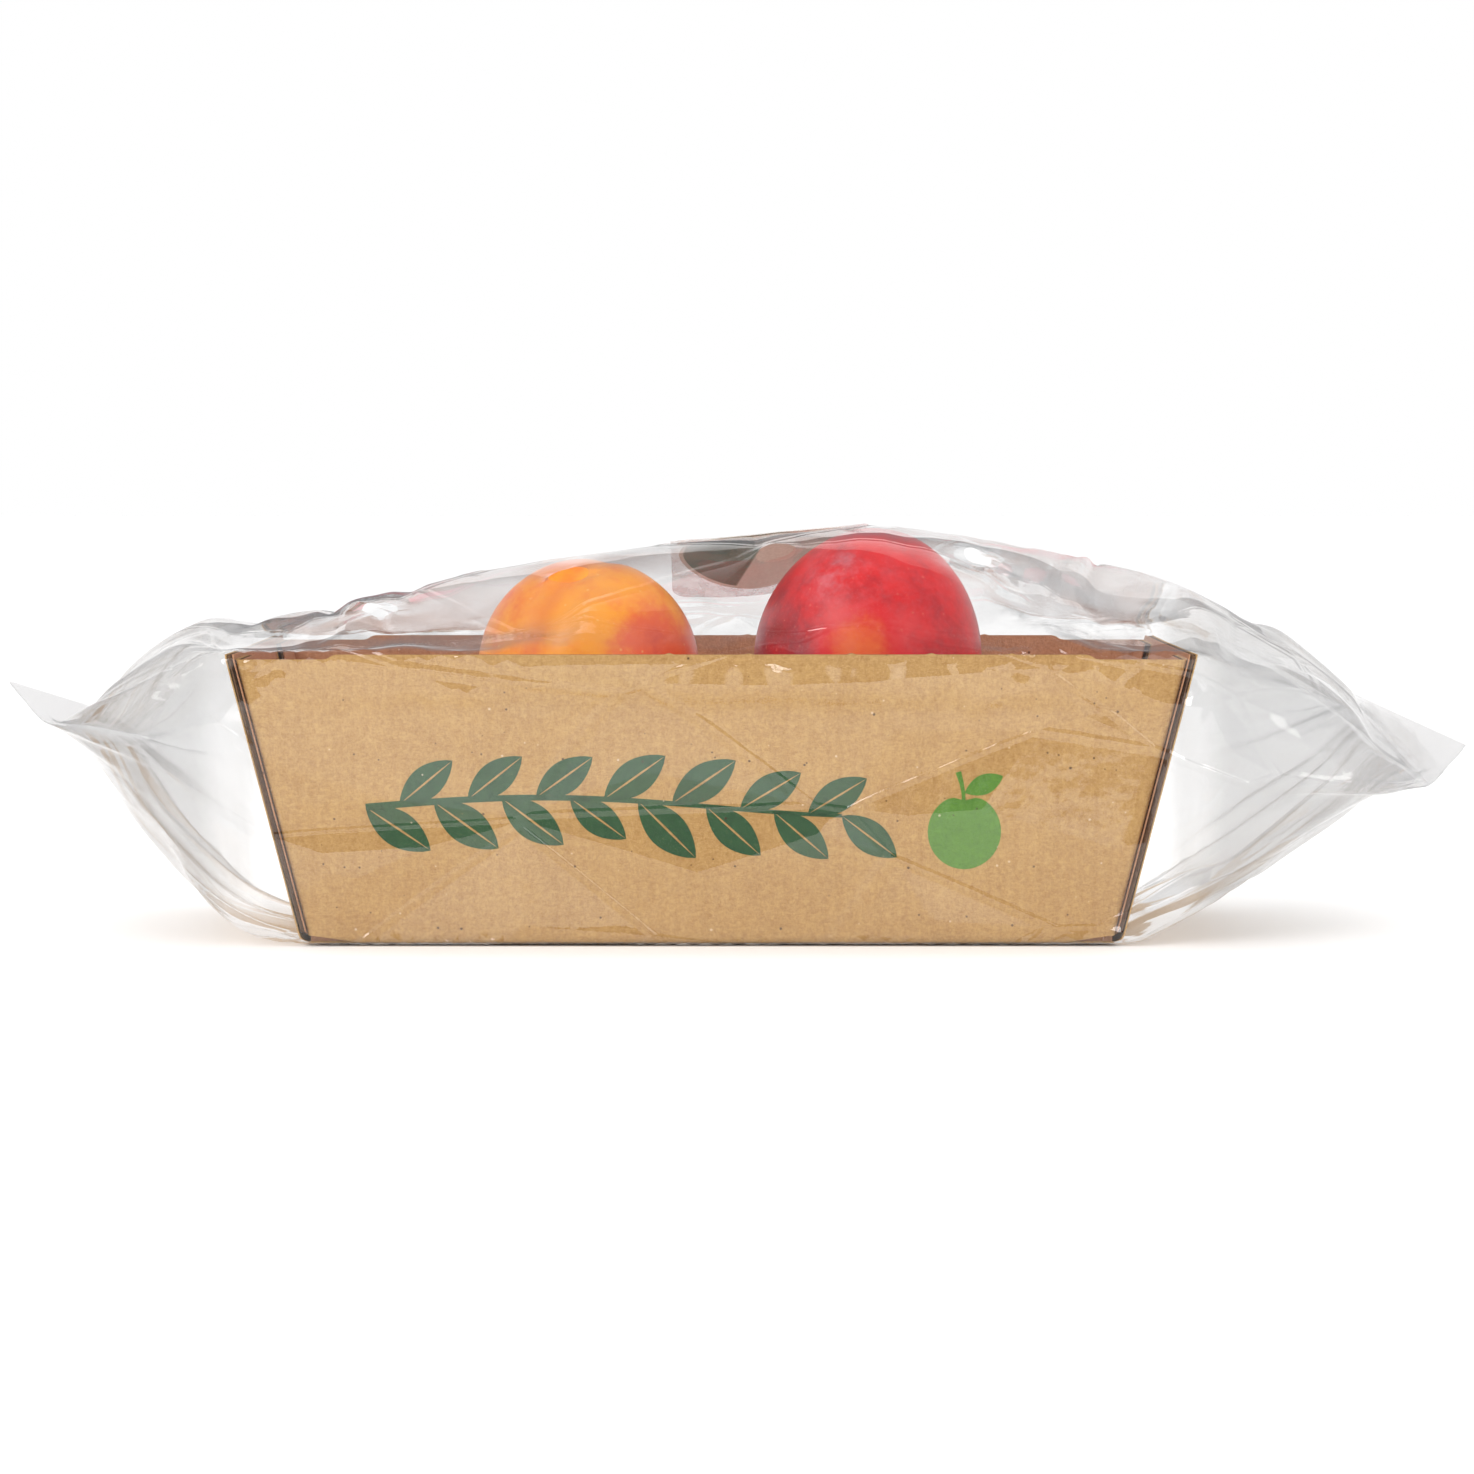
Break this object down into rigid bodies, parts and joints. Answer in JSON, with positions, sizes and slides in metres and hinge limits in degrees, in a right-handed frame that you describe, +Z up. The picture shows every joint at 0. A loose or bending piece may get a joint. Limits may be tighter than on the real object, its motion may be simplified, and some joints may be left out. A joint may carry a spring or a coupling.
{
  "type": "punnet of plums",
  "caption": "Punnet of plums: a tapered tray of brown corrugated board filled with plums in two layers, wrapped in a clear film bag with flat end seals.",
  "frame": {"origin": "centre of the tray's underside", "axes": "+Z up; +X along the tray's length, towards the right end seal in the picture's view; +Y from the front wall to the back wall"},
  "size_m": [0.2927, 0.168, 0.0903],
  "materials": {
    "kraft_board": "matt brown kraft liner with fine flecks and faint upright flute lines",
    "yellow_skin": "smooth satin plum skin, orange-yellow with a red blush",
    "red_skin": "smooth satin plum skin, crimson with pale dots and a dusty bloom",
    "clear_film": "thin clear glossy film, creased, with punched vent holes",
    "sticker_paper": "smooth printed label, dark green and cream",
    "sticker_film": "milky clear label strip"
  },
  "bodies": {
    "root": {"tray": "kraft_board", "plum_front_left": "red_skin", "plum_front_middle": "red_skin", "plum_front_right": "red_skin", "plum_back_left": "red_skin", "plum_back_middle": "red_skin", "plum_back_right": "red_skin", "plum_top_left": "yellow_skin", "plum_top_right": "red_skin", "bag": "clear_film", "sticker_round": "sticker_paper", "sticker_strip": "sticker_film"}
  },
  "joints": []
}
